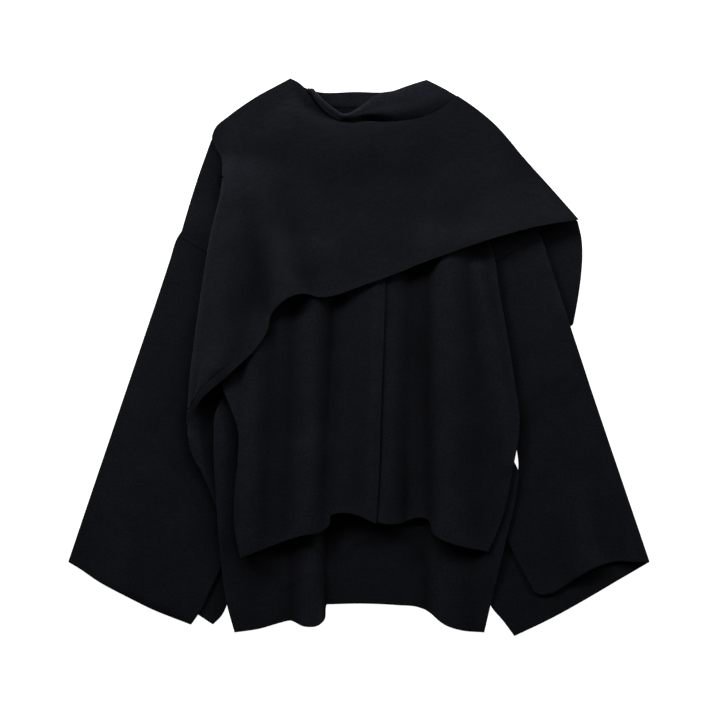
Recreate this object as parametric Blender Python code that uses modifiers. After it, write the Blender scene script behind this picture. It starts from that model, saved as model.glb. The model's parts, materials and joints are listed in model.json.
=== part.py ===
"""A knit cape laid flat, in metres, +Z up, on a surface at z = 0.

The garment is a boxy knitted jacket with wide sleeves under an asymmetric cape. The cape's front slants
across the jacket, rolls under at the wearer's right and comes back as a second layer below the body.
Every panel is a wall of felted double knit, cut to its outline and laid on the panels below it.
Left and right in names are the wearer's; x runs to the viewer's right and y to the neck.
"""

import bmesh
import bpy
import numpy as np

# Cloth
WALL = 0.0022  # felted double knit
GAP = 0.0004  # between pieces that touch
CLOTH_COLOUR = (0.0095, 0.0100, 0.0125, 1.0)
CLOTH_ROUGHNESS = 0.95

# The height map that each panel is laid on
MAP_HALF_WIDTH = 0.400
MAP_HALF_LENGTH = 0.380
MAP_STEP = 0.002
SAMPLE_STEP = 0.0014
NEAREST = 1e-6  # a distance that counts as none
SETTLING_ROUNDS = 8

# How far a panel bridges the hollows beside what it lies on
CLOSE = 0.008
SOFT = 0.014
LOOSE = 0.024

# The cape's rolled side
ROLL_BULGE = 0.009
ROLL_RISE = 0.009
ROLL_BLEND = 0.095
ROLL_TOP_Y = 0.285
ROLL_RAMP = 0.070
EDGE_REACH = 1  # rows of the grid to each side that its heights are evened over
SWELL_TOP_Y = 0.295
SWELL_RAMP = 0.150
SWELL_TAIL = 0.075
ROLL_END_Y = -0.098
ROLL_TAIL = 0.060
ROLL_LEAST = 0.0008
ROLL_START = 0.5
ROLL_SMALLEST = 0.12
INSET_SHARE = 0.2
RETURN_WIDTH = 0.014
RETURN_STEPS = (0.0, 0.5, 1.0)

# Outlines: each edge is a row of x, y points, top to hem or left to right. A point given twice is a corner.
# A side holds only the points between the ends of the top and of the hem.
CAPE_FRONT = {
    "top": [
        (-0.0885, 0.3595), (-0.078, 0.354), (-0.0705, 0.3475), (-0.063, 0.336),
        (-0.0525, 0.3215), (-0.039, 0.3085), (-0.0255, 0.302), (-0.010, 0.3005), (0.008, 0.302),
        (0.034, 0.302), (0.060, 0.304), (0.081, 0.309), (0.102, 0.3185), (0.1265, 0.3370),
    ],
    "hem": [
        (-0.222, -0.087), (-0.208, -0.061), (-0.166, -0.021), (-0.128, 0.017), (-0.118, 0.034),
        (-0.113, 0.054), (-0.100, 0.069), (-0.086, 0.078), (-0.073, 0.081), (-0.052, 0.077),
        (0.011, 0.094), (0.098, 0.127), (0.168, 0.151), (0.230, 0.168), (0.283, 0.177),
    ],
    "left": [
        (-0.098, 0.354), (-0.135, 0.334), (-0.168, 0.311), (-0.186, 0.295), (-0.190, 0.282),
        (-0.185, 0.270),
        (-0.177, 0.257), (-0.176, 0.240), (-0.193, 0.149), (-0.209, 0.045), (-0.219, -0.039),
    ],
    "right": [(0.136, 0.331), (0.169, 0.306), (0.2145, 0.2555), (0.2585, 0.2045)],
}
CAPE_BACK = {
    "top": [
        (-0.086, 0.344), (-0.062, 0.339), (-0.030, 0.337), (0.030, 0.337), (0.062, 0.342),
        (0.095, 0.351), (0.131, 0.333), (0.169, 0.304), (0.2145, 0.2535), (0.283, 0.175),
    ],
    "hem": [
        (-0.2205, -0.095), (-0.2198, -0.105), (-0.2150, -0.124), (-0.203, -0.149), (-0.192, -0.174),
        (-0.173, -0.225), (-0.158, -0.250),
    ],
    "left": [
        (-0.109, 0.243), (-0.142, 0.152), (-0.160, 0.094), (-0.160, 0.094), (-0.199, 0.071),
        (-0.206, 0.035), (-0.214, -0.030), (-0.218, -0.069),
    ],
    "right": [
        (0.288, 0.152), (0.289, 0.133), (0.288, 0.113), (0.283, 0.074), (0.277, 0.042),
        (0.277, 0.042), (0.027, -0.140),
    ],
}
BODY_BACK = {
    "top": [
        (-0.231, 0.156), (-0.209, 0.230), (-0.191, 0.281), (-0.191, 0.281), (-0.131, 0.329),
        (-0.087, 0.352), (-0.087, 0.352), (-0.069, 0.335), (-0.038, 0.325), (0.000, 0.324),
        (0.038, 0.325), (0.069, 0.335), (0.087, 0.352), (0.087, 0.352), (0.131, 0.329),
        (0.191, 0.281), (0.191, 0.281), (0.209, 0.230), (0.231, 0.156),
    ],
    "hem": [
        (-0.161, -0.356), (-0.127, -0.351), (-0.103, -0.344), (-0.089, -0.341), (-0.069, -0.348),
        (-0.055, -0.347), (-0.047, -0.341), (-0.042, -0.320), (-0.042, -0.320), (0.001, -0.319),
        (0.050, -0.321), (0.076, -0.3235), (0.090, -0.329), (0.111, -0.346), (0.131, -0.353),
        (0.162, -0.356),
    ],
    "left": [
        (-0.173, 0.121), (-0.173, 0.121), (-0.178, 0.009), (-0.177, -0.053), (-0.185, -0.072),
        (-0.187, -0.105), (-0.184, -0.189), (-0.180, -0.244), (-0.170, -0.323),
    ],
    "right": [
        (0.173, 0.121), (0.173, 0.121), (0.178, 0.061), (0.186, -0.030), (0.193, -0.112),
        (0.198, -0.135), (0.204, -0.150), (0.204, -0.172), (0.190, -0.236), (0.170, -0.321),
    ],
}
RIGHT_FRONT = {
    "top": [
        (-0.151, 0.305), (-0.116, 0.330), (-0.084, 0.344), (-0.084, 0.344), (-0.064, 0.319),
        (-0.038, 0.300), (-0.012, 0.294), (0.033, 0.292),
    ],
    "hem": [
        (-0.152, -0.259), (-0.130, -0.250), (-0.103, -0.240), (-0.073, -0.230), (-0.045, -0.223),
        (-0.038, -0.216), (-0.036, -0.204), (-0.030, -0.202), (-0.018, -0.201), (0.001, -0.205),
        (0.022, -0.215),
    ],
    "left": [
        (-0.155, 0.230), (-0.160, 0.139), (-0.173, -0.004), (-0.175, -0.042), (-0.169, -0.057),
        (-0.161, -0.077), (-0.155, -0.097), (-0.155, -0.124), (-0.160, -0.179), (-0.161, -0.209),
    ],
    "right": [(0.034, 0.191), (0.034, 0.100), (0.029, -0.049), (0.025, -0.166)],
}
LEFT_FRONT = {
    "top": [
        (0.014, 0.292), (0.051, 0.295), (0.073, 0.313), (0.087, 0.344), (0.087, 0.344),
        (0.125, 0.326), (0.156, 0.303),
    ],
    "hem": [
        (0.005, -0.200), (0.023, -0.213), (0.044, -0.216), (0.058, -0.214), (0.071, -0.209),
        (0.086, -0.209), (0.092, -0.214), (0.095, -0.226), (0.106, -0.235), (0.126, -0.243),
        (0.167, -0.252),
    ],
    "left": [(0.015, 0.191), (0.014, 0.100), (0.009, -0.049)],
    "right": [
        (0.161, 0.230), (0.166, 0.151), (0.171, 0.139), (0.182, 0.080), (0.201, -0.033),
        (0.207, -0.082), (0.199, -0.142), (0.183, -0.214),
    ],
}
LEFT_SLEEVE_FRONT = {
    "top": [(0.139, 0.099), (0.167, 0.132), (0.197, 0.149), (0.2255, 0.168)],
    "hem": [
        (0.226, -0.303), (0.233, -0.307), (0.248, -0.306), (0.265, -0.297), (0.282, -0.285),
        (0.305, -0.272), (0.325, -0.266), (0.374, -0.265),
    ],
    "left": [
        (0.169, 0.029), (0.190, -0.030), (0.202, -0.108), (0.206, -0.142), (0.199, -0.173),
        (0.191, -0.205), (0.191, -0.233), (0.200, -0.254), (0.213, -0.279),
    ],
    "right": [(0.2352, 0.1535), (0.2445, 0.1265), (0.2615, 0.075), (0.279, 0.022)],
}
LEFT_SLEEVE_BACK = {
    "top": LEFT_SLEEVE_FRONT["top"],
    "hem": [(0.201, -0.361), (0.248, -0.3385), (0.291, -0.3148), (0.334, -0.2895), (0.376, -0.265)],
    "left": [
        (0.169, 0.029), (0.190, -0.030), (0.202, -0.108), (0.206, -0.142), (0.196, -0.186),
        (0.183, -0.238), (0.170, -0.283), (0.165, -0.305), (0.170, -0.321), (0.186, -0.341),
    ],
    "right": [(0.2352, 0.1535), (0.2445, 0.1265), (0.2615, 0.075), (0.279, 0.022)],
}
RIGHT_SLEEVE_FRONT = {
    "top": [(-0.2255, 0.168), (-0.197, 0.149), (-0.167, 0.132), (-0.139, 0.099)],
    "hem": [
        (-0.376, -0.265), (-0.364, -0.272), (-0.339, -0.2885), (-0.307, -0.3060), (-0.269, -0.3255),
        (-0.217, -0.346),
    ],
    "left": [(-0.2352, 0.1535), (-0.2440, 0.1265), (-0.2610, 0.075), (-0.279, 0.022)],
    "right": [
        (-0.169, 0.029), (-0.190, -0.030), (-0.191, -0.108), (-0.186, -0.147), (-0.179, -0.186),
        (-0.173, -0.225), (-0.177, -0.267), (-0.191, -0.299), (-0.206, -0.330),
    ],
}
RIGHT_SLEEVE_BACK = {
    "top": RIGHT_SLEEVE_FRONT["top"],
    "hem": [
        (-0.376, -0.265), (-0.324, -0.281), (-0.272, -0.302), (-0.226, -0.321), (-0.207, -0.334),
        (-0.189, -0.346),
    ],
    "left": [(-0.2352, 0.1535), (-0.2440, 0.1265), (-0.2610, 0.075), (-0.279, 0.022)],
    "right": [
        (-0.169, 0.029), (-0.187, -0.030), (-0.190, -0.108), (-0.185, -0.147), (-0.177, -0.186),
        (-0.165, -0.238), (-0.160, -0.283), (-0.168, -0.313), (-0.178, -0.335),
    ],
}
COLLAR_BACK = {
    "top": [
        (-0.088, 0.3555), (-0.075, 0.3500), (-0.058, 0.3435), (-0.005, 0.3425), (0.049, 0.3435),
        (0.069, 0.3490), (0.086, 0.3550),
    ],
    "hem": [
        (-0.086, 0.3510), (-0.068, 0.3335), (-0.038, 0.3235), (0.000, 0.3225), (0.038, 0.3235),
        (0.068, 0.3335), (0.085, 0.3515),
    ],
    "left": [],
    "right": [],
}
COLLAR_FRONT = {
    "top": [
        (-0.060, 0.3445), (-0.053, 0.336), (-0.043, 0.326), (-0.030, 0.316), (-0.021, 0.311),
        (-0.013, 0.3115), (-0.001, 0.3185), (0.009, 0.326), (0.0195, 0.335), (0.0285, 0.339),
        (0.043, 0.3415), (0.060, 0.3475), (0.076, 0.3530), (0.087, 0.3565),
    ],
    "hem": [
        (-0.0665, 0.3475), (-0.0592, 0.3365), (-0.049, 0.3225), (-0.0365, 0.3115), (-0.024, 0.3055),
        (-0.012, 0.3042), (0.008, 0.3057), (0.034, 0.3054), (0.060, 0.3062), (0.080, 0.3098),
        (0.1008, 0.3195), (0.1252, 0.3378),
    ],
    "left": [],
    "right": [(0.104, 0.3485)],
}

# Folds: start x, y; end x, y; rise at the start and at the end; half width to the left and to the right
# of the way from start to end. Every fold is a soft ridge; the cloth between ridges is a valley.
CAPE_FOLDS = [
    (-0.137, 0.269, -0.090, 0.074, 0.000, 0.015, 0.034, 0.032),
    (-0.180, 0.120, -0.176, -0.010, 0.000, 0.004, 0.030, 0.024),
    (-0.086, 0.340, -0.068, 0.318, 0.001, 0.006, 0.018, 0.060),
    (-0.068, 0.318, -0.040, 0.302, 0.006, 0.009, 0.016, 0.080),
    (-0.040, 0.302, -0.010, 0.299, 0.009, 0.009, 0.012, 0.084),
    (-0.010, 0.299, 0.060, 0.302, 0.009, 0.008, 0.012, 0.084),
    (0.060, 0.302, 0.124, 0.334, 0.008, 0.002, 0.014, 0.080),
    (0.180, 0.155, 0.270, 0.180, 0.011, 0.011, 0.070, 0.050),
]
CAPE_BACK_FOLDS = [
    (-0.214, -0.050, -0.219, -0.106, 0.000, 0.009, 0.024, 0.010),
    (-0.219, -0.106, -0.184, -0.200, 0.009, 0.002, 0.024, 0.010),
]
RIGHT_FRONT_FOLDS = [
    (-0.134, 0.009, -0.143, -0.252, 0.005, 0.007, 0.024, 0.020),
    (-0.056, 0.110, -0.066, -0.232, 0.012, 0.009, 0.022, 0.032),
    (0.028, 0.110, 0.020, -0.214, 0.0006, 0.0010, 0.014, 0.018),
]
LEFT_FRONT_FOLDS = [
    (0.040, 0.100, 0.040, -0.216, 0.006, 0.014, 0.022, 0.032),
    (0.110, 0.120, 0.114, -0.240, 0.013, 0.011, 0.045, 0.022),
    (0.150, 0.110, 0.196, -0.130, 0.006, 0.003, 0.016, 0.030),
]
BODY_BACK_FOLDS = [
    (-0.060, -0.150, -0.058, -0.352, 0.005, 0.013, 0.015, 0.030),
    (0.104, -0.200, 0.109, -0.352, 0.003, 0.011, 0.040, 0.022),
]
RIGHT_SLEEVE_FOLDS = [
    (-0.300, -0.100, -0.318, -0.300, 0.000, 0.004, 0.040, 0.040),
]
LEFT_SLEEVE_FOLDS = [
    (0.268, -0.150, 0.300, -0.276, 0.000, 0.008, 0.030, 0.040),
    (0.350, -0.140, 0.356, -0.266, 0.000, 0.004, 0.030, 0.018),
]
COLLAR_FOLDS = [
    (-0.062, 0.3455, -0.053, 0.3350, 0.002, 0.010, 0.005, 0.0040),
    (-0.053, 0.3350, -0.0425, 0.3250, 0.010, 0.011, 0.005, 0.0040),
    (-0.0425, 0.3250, -0.0212, 0.3095, 0.011, 0.011, 0.005, 0.0040),
    (-0.0212, 0.3095, -0.013, 0.3100, 0.011, 0.011, 0.006, 0.006),
    (-0.013, 0.3100, 0.0095, 0.3245, 0.011, 0.012, 0.007, 0.014),
    (0.0095, 0.3245, 0.0285, 0.3370, 0.012, 0.012, 0.008, 0.030),
    (0.0285, 0.3370, 0.060, 0.3460, 0.012, 0.011, 0.012, 0.038),
    (0.060, 0.3460, 0.090, 0.3500, 0.011, 0.003, 0.012, 0.036),
    (-0.006, 0.3145, 0.034, 0.3225, 0.0105, 0.0115, 0.036, 0.0155),
    (0.034, 0.3225, 0.066, 0.3235, 0.0115, 0.0090, 0.036, 0.018),
    (0.066, 0.3235, 0.124, 0.3390, 0.0090, 0.0015, 0.034, 0.024),
]

# Where the cape lies close on what is below it, as lines with a share and a half width to each side
CAPE_HUGS = [
    (-0.200, 0.302, -0.187, 0.278, 1.0, 1.0, 0.036, 0.036),
    (-0.060, 0.337, -0.024, 0.305, 1.0, 1.0, 0.022, 0.022),
]


def curve(points, count):
    """Evenly spaced points along a smooth curve through the given ones; a point given twice is a corner."""
    runs = [[points[0]]]
    for before, point in zip(points, points[1:]):
        if before == point:
            runs.append([])
        runs[-1].append(point)
    path = np.concatenate([smooth_run(np.array(run)) for run in runs])
    along = lengths(path)
    even = np.linspace(0.0, along[-1], count)
    return np.column_stack([np.interp(even, along, path[:, axis]) for axis in (0, 1)])


def lengths(path):
    """The distance along a path at each of its points."""
    steps = np.linalg.norm(np.diff(path, axis=0), axis=1)
    return np.concatenate([[0.0], np.cumsum(steps)])


def smooth_run(points, samples=16):
    """A dense Hermite curve through points with no corner between them."""
    knots = lengths(points)
    slopes = np.gradient(points, knots, axis=0)
    spans = np.diff(knots)[:, None, None]
    s = np.linspace(0.0, 1.0, samples)[None, :, None]
    start, end = points[:-1, None], points[1:, None]
    leave, arrive = slopes[:-1, None] * spans, slopes[1:, None] * spans
    path = (2 * s**3 - 3 * s**2 + 1) * start + (3 * s**2 - 2 * s**3) * end
    path = path + (s**3 - 2 * s**2 + s) * leave + (s**3 - s**2) * arrive
    return path.reshape(-1, 2)


def plan_of(outline, across, down):
    """A grid of x, y points that fills an outline, hem row first."""
    top, hem = outline["top"], outline["hem"]
    upper = curve(top, across + 1)[None]
    lower = curve(hem, across + 1)[None]
    left = curve([top[0], *outline["left"], hem[0]], down + 1)[:, None]
    right = curve([top[-1], *outline["right"], hem[-1]], down + 1)[:, None]
    u = np.linspace(0.0, 1.0, across + 1)[None, :, None]
    v = np.linspace(0.0, 1.0, down + 1)[:, None, None]
    corners = (1 - v) * ((1 - u) * upper[:, :1] + u * upper[:, -1:])
    corners = corners + v * ((1 - u) * lower[:, :1] + u * lower[:, -1:])
    plan = (1 - v) * upper + v * lower + (1 - u) * left + u * right - corners
    return plan[::-1]


def ease(share):
    """A step from 0 to 1 that starts and ends level."""
    share = np.clip(share, 0.0, 1.0)
    return share * share * (3 - 2 * share)


def levelled(heights):
    """Heights along an edge, raised to their neighbours and then evened out."""
    for blend in (np.max, np.mean):
        wide = np.pad(heights, EDGE_REACH, mode="edge")
        heights = np.array([blend(wide[at : at + 2 * EDGE_REACH + 1]) for at in range(len(heights))])
    return heights


def rise_of(plan, folds):
    """The height that a panel's own folds add at each point of its plan."""
    total = np.zeros(plan.shape[:2])
    for x0, y0, x1, y1, rise0, rise1, left, right in folds:
        way = np.array([x1 - x0, y1 - y0])
        offset = plan - np.array([x0, y0])
        along = np.clip(offset @ way / (way @ way), 0.0, 1.0)
        side = (offset[..., 0] * way[1] - offset[..., 1] * way[0]) / np.linalg.norm(way)
        away = np.linalg.norm(offset - along[..., None] * way, axis=-1)
        sway = side / np.maximum(away, NEAREST)
        width = (left + right) / 2 + (right - left) / 2 * sway
        bump = np.clip(1 - (away / width) ** 2, 0.0, None) ** 2
        total = np.maximum(total, (rise0 + (rise1 - rise0) * along) * bump)
    return total


def spread(values, reach, blend):
    """Slides a window over both axes of the height map and blends what it holds."""
    for axis in (0, 1):
        shifted = [np.roll(values, step, axis) for step in range(-reach, reach + 1)]
        values = blend(shifted)
    return values


def highest(layers):
    return np.maximum.reduce(layers)


def average(layers):
    return sum(layers) / len(layers)


class Pile:
    """The height of everything laid so far, on a grid of small cells."""

    def __init__(self):
        columns = round(2 * MAP_HALF_WIDTH / MAP_STEP) + 1
        rows = round(2 * MAP_HALF_LENGTH / MAP_STEP) + 1
        self.top = np.zeros((rows, columns))

    def cells(self, plan):
        column = (plan[..., 0] + MAP_HALF_WIDTH) / MAP_STEP
        row = (plan[..., 1] + MAP_HALF_LENGTH) / MAP_STEP
        return row, column

    def cover(self, plan, reach):
        """The height of a cloth that bridges hollows narrower than about twice the reach."""
        window = round(reach / MAP_STEP)
        cloth = spread(self.top, window, highest)
        cloth = spread(cloth, window // 2, average)
        cloth = spread(cloth, window - window // 2, average)
        row, column = self.cells(plan)
        r, c = np.floor(row).astype(int), np.floor(column).astype(int)
        dr, dc = row - r, column - c
        low = cloth[r, c] * (1 - dc) + cloth[r, c + 1] * dc
        high = cloth[r + 1, c] * (1 - dc) + cloth[r + 1, c + 1] * dc
        return low * (1 - dr) + high * dr

    def shortfall(self, points):
        """How far each point has to rise for its faces to clear the pile."""
        fine, corners = refine(points)
        row, column = self.cells(fine)
        solid = spread(self.top, 1, highest)
        below = solid[np.rint(row).astype(int), np.rint(column).astype(int)]
        need = np.where(below > 0, np.maximum(below + GAP - fine[..., 2], 0.0), 0.0)
        rise = np.zeros(points.shape[:2])
        for corner in corners:
            np.maximum.at(rise, corner, need)
        return rise

    def add(self, points):
        fine, _ = refine(points)
        row, column = self.cells(fine)
        np.maximum.at(self.top, (np.rint(row).astype(int), np.rint(column).astype(int)), fine[..., 2])


def refine(points):
    """Points spread closely over each face of a grid, and the four corners that each one lies between."""
    rows, columns = points.shape[:2]
    longest = max(np.linalg.norm(np.diff(points, axis=axis), axis=-1).max() for axis in (0, 1))
    count = max(2, int(np.ceil(longest / SAMPLE_STEP)))
    at_row = np.linspace(0, rows - 1, (rows - 1) * count + 1)
    at_column = np.linspace(0, columns - 1, (columns - 1) * count + 1)
    r = np.minimum(at_row.astype(int), rows - 2)
    c = np.minimum(at_column.astype(int), columns - 2)
    s, t = (at_row - r)[:, None, None], (at_column - c)[None, :, None]
    low = points[np.ix_(r, c)] * (1 - t) + points[np.ix_(r, c + 1)] * t
    high = points[np.ix_(r + 1, c)] * (1 - t) + points[np.ix_(r + 1, c + 1)] * t
    grid = np.broadcast_arrays(r[:, None], c[None, :])
    corners = [(grid[0] + i, grid[1] + j) for i in (0, 1) for j in (0, 1)]
    return low * (1 - s) + high * s, corners


def upper_face(points):
    """The grid moved out by the wall along its normals."""
    across = np.gradient(points, axis=1)
    up = np.gradient(points, axis=0)
    normals = np.cross(across, up)
    return points + WALL * normals / np.linalg.norm(normals, axis=-1, keepdims=True)


def lay(pile, plan, reach, rise, hugs=()):
    """The underside of a panel laid on the pile, with its own folds standing above it."""
    height = pile.cover(plan, reach)
    height = height + rise_of(plan, hugs) * (pile.cover(plan, CLOSE) - height)
    points = np.dstack([plan, height + np.where(height > 0, GAP, 0.0) + rise])
    for _ in range(SETTLING_ROUNDS):
        points[..., 2] += pile.shortfall(points)
    return points


def cloth_material(name):
    material = bpy.data.materials.new(name)
    material.use_nodes = True
    material.diffuse_color = CLOTH_COLOUR
    shader = material.node_tree.nodes["Principled BSDF"]
    shader.inputs["Base Color"].default_value = CLOTH_COLOUR
    shader.inputs["Roughness"].default_value = CLOTH_ROUGHNESS
    shader.inputs["Metallic"].default_value = 0.0
    return material


def panel(name, points, collection, unused=None):
    """A closed wall on a grid of points: its underside is the grid, and the wall is built upwards."""
    rows, columns = points.shape[:2]
    shape = bmesh.new()
    bmesh.ops.create_grid(shape, x_segments=columns - 1, y_segments=rows - 1, size=0.5)
    for vertex, place in zip(shape.verts, points.reshape(-1, 3)):
        vertex.co = place
    if unused is not None:
        spare = [face for face, left_out in zip(shape.faces, unused.ravel()) if left_out]
        bmesh.ops.delete(shape, geom=spare, context="FACES")
    mesh = bpy.data.meshes.new(name)
    shape.to_mesh(mesh)
    shape.free()
    mesh.shade_smooth()
    piece = bpy.data.objects.new(name, mesh)
    piece.data.materials.append(cloth_material(name + "_cloth"))
    wall = piece.modifiers.new("wall", "SOLIDIFY")
    wall.thickness = WALL
    wall.offset = 1.0
    wall.use_even_offset = False
    collection.objects.link(piece)


def laid_panel(name, pile, collection, outline, across, down, reach, folds=(), carries=True):
    plan = plan_of(outline, across, down)
    points = lay(pile, plan, reach, rise_of(plan, folds))
    if carries:
        pile.add(upper_face(points))
    panel(name, points, collection)


def cape_front(pile, collection, across=26, down=30, turns=5):
    """The slanting front, with its side rolled under and lying on what is below it."""
    plan = plan_of(CAPE_FRONT, across, down)
    edge = plan[:, 0]
    run = np.gradient(edge, axis=0)
    out = np.column_stack([-run[:, 1], run[:, 0]])
    out = out / np.linalg.norm(out, axis=1, keepdims=True)
    ramp = np.clip((ROLL_TOP_Y - edge[:, 1]) / ROLL_RAMP, 0.0, 1.0)
    ramp = ramp * np.clip((edge[:, 1] - ROLL_END_Y) / ROLL_TAIL, 0.0, 1.0)
    rolled = ramp > ROLL_START
    full = np.clip((ramp - ROLL_START) / (1 - ROLL_START), ROLL_SMALLEST, 1.0)
    inset = (ROLL_BULGE * full + WALL) * rolled
    fade = np.clip(1 - np.linspace(0.0, 1.0, across + 1) / INSET_SHARE, 0.0, None)
    plan = plan - (inset[:, None] * fade[None, :])[..., None] * out[:, None]

    edge = plan[:, 0]
    away = np.linalg.norm(plan - edge[:, None], axis=-1)
    swell = np.clip(1 - (away / ROLL_BLEND) ** 2, 0.0, None) ** 2
    lift = ease((SWELL_TOP_Y - edge[:, 1]) / SWELL_RAMP)[:, None]
    lift = lift * ease(np.linalg.norm(plan - plan[0, 0], axis=-1) / SWELL_TAIL)
    rise = rise_of(plan, CAPE_FOLDS) + ROLL_RISE * lift * swell
    points = lay(pile, plan, LOOSE, rise, CAPE_HUGS)

    reach_in = RETURN_WIDTH * full[:, None] * np.array(RETURN_STEPS)[None, :]
    strip = edge[:, None] - out[:, None] * reach_in[..., None]
    return_top = levelled(pile.cover(strip, SOFT).max(axis=1) + GAP + WALL)[:, None]
    short = levelled(np.maximum(return_top[:, 0] + 2 * ROLL_LEAST - points[:, 0, 2], 0.0))
    points[..., 2] += (short * ease(ramp / ROLL_START))[:, None] * swell
    front = points[:, :1, 2]
    half = np.maximum((front - return_top) / 2, ROLL_LEAST)
    middle = front - half
    angles = np.linspace(np.pi, 0.0, turns + 2)[None, :-1]
    bulge = ROLL_BULGE * full[:, None] * np.sin(angles)
    roll_plan = edge[:, None] + out[:, None] * bulge[..., None]
    roll_height = middle + half * np.cos(angles)
    return_height = np.repeat(front - 2 * half, len(RETURN_STEPS) - 1, axis=1)
    turn = np.dstack([roll_plan, roll_height])
    flat = np.dstack([strip[:, :0:-1], return_height])
    whole = np.concatenate([flat, turn, points], axis=1)

    spare = np.zeros((down, whole.shape[1] - 1), bool)
    spare[:, : -across] = ~(rolled[1:] & rolled[:-1])[:, None]
    panel("cape_front", whole, collection, spare)


def build():
    for old in list(bpy.data.objects):
        bpy.data.objects.remove(old)
    cape = bpy.data.collections.new("knit_cape")
    bpy.context.scene.collection.children.link(cape)
    pile = Pile()
    laid_panel("sleeve_right_back", pile, cape, RIGHT_SLEEVE_BACK, 7, 16, CLOSE)
    laid_panel("sleeve_right_front", pile, cape, RIGHT_SLEEVE_FRONT, 8, 18, CLOSE, RIGHT_SLEEVE_FOLDS)
    laid_panel("cape_back", pile, cape, CAPE_BACK, 16, 18, SOFT, CAPE_BACK_FOLDS)
    laid_panel("sleeve_left_back", pile, cape, LEFT_SLEEVE_BACK, 7, 16, SOFT)
    laid_panel("sleeve_left_front", pile, cape, LEFT_SLEEVE_FRONT, 8, 18, CLOSE, LEFT_SLEEVE_FOLDS)
    laid_panel("body_back", pile, cape, BODY_BACK, 28, 24, SOFT, BODY_BACK_FOLDS)
    laid_panel("collar_back", pile, cape, COLLAR_BACK, 12, 2, CLOSE)
    laid_panel("body_front_left", pile, cape, LEFT_FRONT, 16, 22, SOFT, LEFT_FRONT_FOLDS)
    laid_panel("body_front_right", pile, cape, RIGHT_FRONT, 16, 22, SOFT, RIGHT_FRONT_FOLDS)
    laid_panel("collar_front", pile, cape, COLLAR_FRONT, 24, 5, SOFT, COLLAR_FOLDS, carries=False)
    cape_front(pile, cape)


build()
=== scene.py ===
"""The looks of a knit cape that lies flat: near-black felted double knit on a white table, seen from above.

Every panel of the frame is laid again on a fine grid, on outlines and folds that follow the frame's, and gets
its smaller creases, rounded edges and felted finish. Metres, +Z up. Left and right in names are the wearer's;
x runs to the viewer's right and y to the neck.
"""

import json
import math

import bmesh
import bpy
import numpy as np
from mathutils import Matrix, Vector

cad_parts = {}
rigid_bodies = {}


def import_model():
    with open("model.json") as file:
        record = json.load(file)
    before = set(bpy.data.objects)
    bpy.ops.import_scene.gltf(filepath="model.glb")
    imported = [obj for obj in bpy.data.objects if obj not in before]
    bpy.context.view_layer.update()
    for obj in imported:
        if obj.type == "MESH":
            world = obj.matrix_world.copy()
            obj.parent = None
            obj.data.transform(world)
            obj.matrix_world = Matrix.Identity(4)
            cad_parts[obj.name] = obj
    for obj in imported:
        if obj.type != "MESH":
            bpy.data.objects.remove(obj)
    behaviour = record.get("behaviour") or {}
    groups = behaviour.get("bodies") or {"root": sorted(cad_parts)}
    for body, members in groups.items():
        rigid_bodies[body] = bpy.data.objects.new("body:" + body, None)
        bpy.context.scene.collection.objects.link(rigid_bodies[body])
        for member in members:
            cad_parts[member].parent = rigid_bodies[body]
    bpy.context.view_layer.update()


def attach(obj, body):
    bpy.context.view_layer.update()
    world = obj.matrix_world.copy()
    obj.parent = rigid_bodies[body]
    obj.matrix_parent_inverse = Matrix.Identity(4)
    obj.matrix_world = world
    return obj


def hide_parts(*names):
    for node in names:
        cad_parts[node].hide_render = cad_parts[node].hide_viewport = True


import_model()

# Cloth
WALL = 0.0022  # felted double knit
GAP = 0.0004  # between pieces that touch
CELL = 0.0030  # of a panel's grid
FINE_CELL = 0.0010  # the same on narrow pieces
EDGE_ROUND = 0.0009
EDGE_STEPS = 3
EDGE_ANGLE = 50.0  # degrees; edges sharper than this are rounded
CLOTH_BLACK = (0.0080, 0.0087, 0.0120, 1.0)
NAP_TINT = (0.80, 0.84, 1.0, 1.0)
NAP_SHEEN = 0.05
NAP_SPREAD = 0.30
ROUGHNESS = 0.95
SHINE = 0.1
FIBRE_SCALE = 320.0
FIBRE_DETAIL = 3.0
CLOUD_SCALE = 60.0  # slow changes of shade beside the fine grain
CLOUD_DETAIL = 2.0
CLOUD_SHARE = 0.35
SHADE_SPREAD = 1.4  # how much the grain changes the shade
NAP_BUMP = 0.35
NAP_HEIGHT = 0.0006

# The height map that each panel is laid on
MAP_HALF_WIDTH = 0.400
MAP_HALF_LENGTH = 0.380
MAP_STEP = 0.002
SAMPLE_STEP = 0.0014  # at most between the points that a panel gives to the map
NEAREST = 1e-6  # a distance that counts as none
LEAST_LAID = 0.04  # the smallest share of the surroundings that counts as covered with cloth

# Painted shading in the cloth's colour: painted shade in the hollows and painted highlight on the ridges and
# edges; how far around a place counts, and the change for each metre
WIDE_AROUND = 0.026
WIDE_PAINTED_SHADING = 64.0
NEAR_AROUND = 0.008
NEAR_PAINTED_SHADING = 60.0
PAINTED_SHADING_LEAST = 0.15
PAINTED_SHADING_MOST = 1.28

# How far a panel bridges the hollows beside what it lies on
CLOSE = 0.008
SOFT = 0.014
LOOSE = 0.024

# The cape's rolled side: the roll grows downwards from its top over the ramp, and fades over the tail to
# its end
ROLL_TOP_Y = 0.264
ROLL_RAMP = 0.064
ROLL_END_Y = -0.098
ROLL_TAIL = 0.060
ROLL_START = 0.5  # the share of the ramp from which the cloth turns under
ROLL_BULGE = 0.009  # how far the turn stands out from the front's edge
ROLL_SMALLEST = 0.12  # the least share of the bulge
ROLL_LEAST = 0.0008  # half the least height of the turn
ROLL_POINTS = 13  # round the turn, between its two ends
INSET_SHARE = 0.2  # the share of the cape's width that draws in to make room for the turn
RETURN_WIDTH = 0.014  # the strip that comes back below the edge
RETURN_CELLS = 5
EDGE_REACH = 6  # rows of the grid to each side that its heights are evened over

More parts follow.
